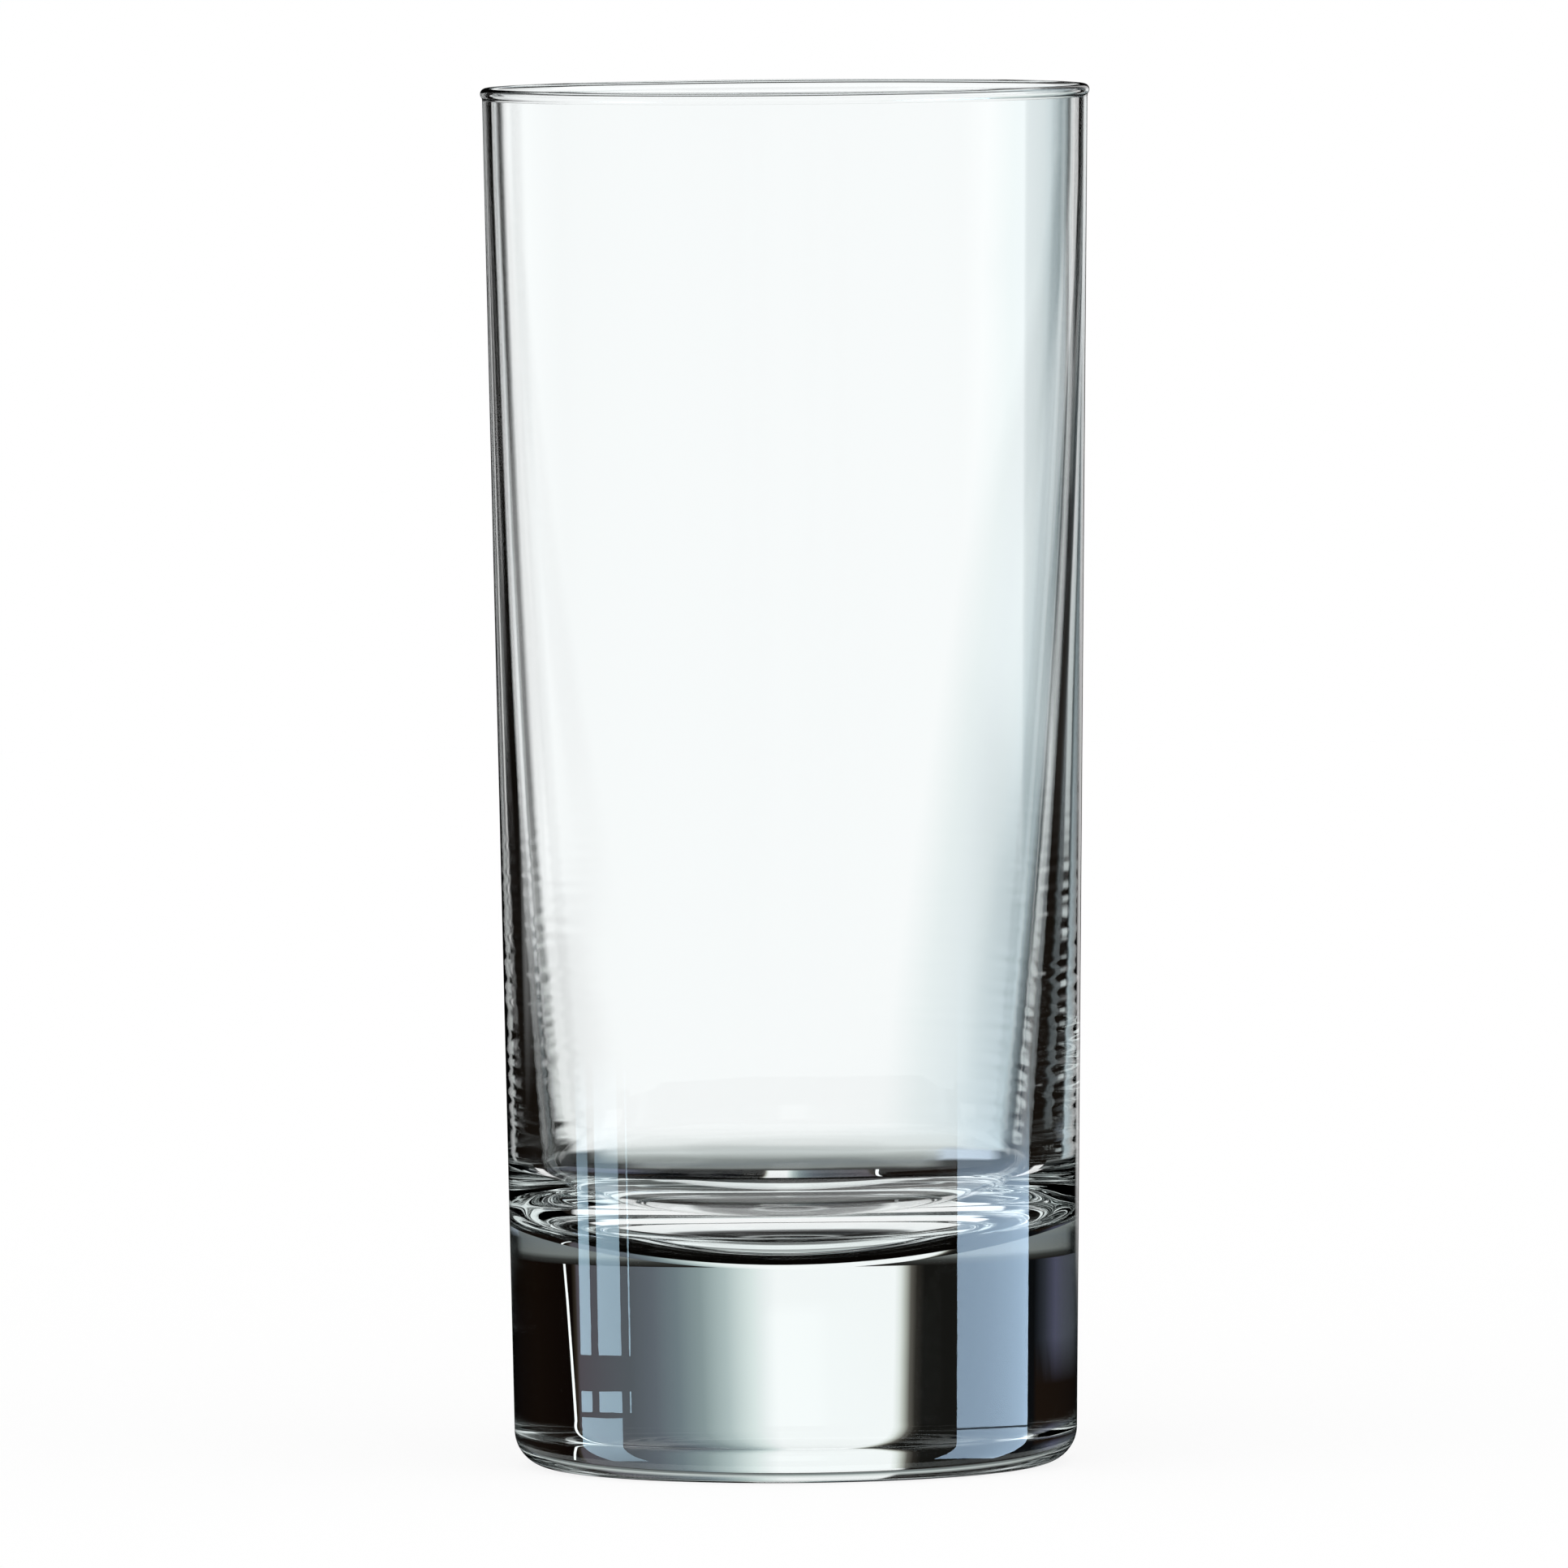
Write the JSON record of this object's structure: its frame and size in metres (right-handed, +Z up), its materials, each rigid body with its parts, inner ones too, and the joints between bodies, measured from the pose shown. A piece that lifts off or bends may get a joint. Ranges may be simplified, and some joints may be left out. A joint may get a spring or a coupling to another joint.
{
  "type": "highball glass",
  "caption": "Tall straight-sided tumbler of clear glass with a thin round rim, a gently tapering wall and a thick solid base, for long drinks.",
  "frame": {"origin": "centre of the bearing ring on the table", "axes": "+Z up along the axis of the glass, towards the mouth"},
  "size_m": [0.064, 0.064, 0.145],
  "materials": {
    "clear_glass": "fire-polished clear soda-lime glass with a faint blue-green tint in its thickness"
  },
  "bodies": {
    "root": {"rim": "clear_glass", "side_wall": "clear_glass", "base": "clear_glass", "bearing_ring": "clear_glass"}
  },
  "joints": []
}
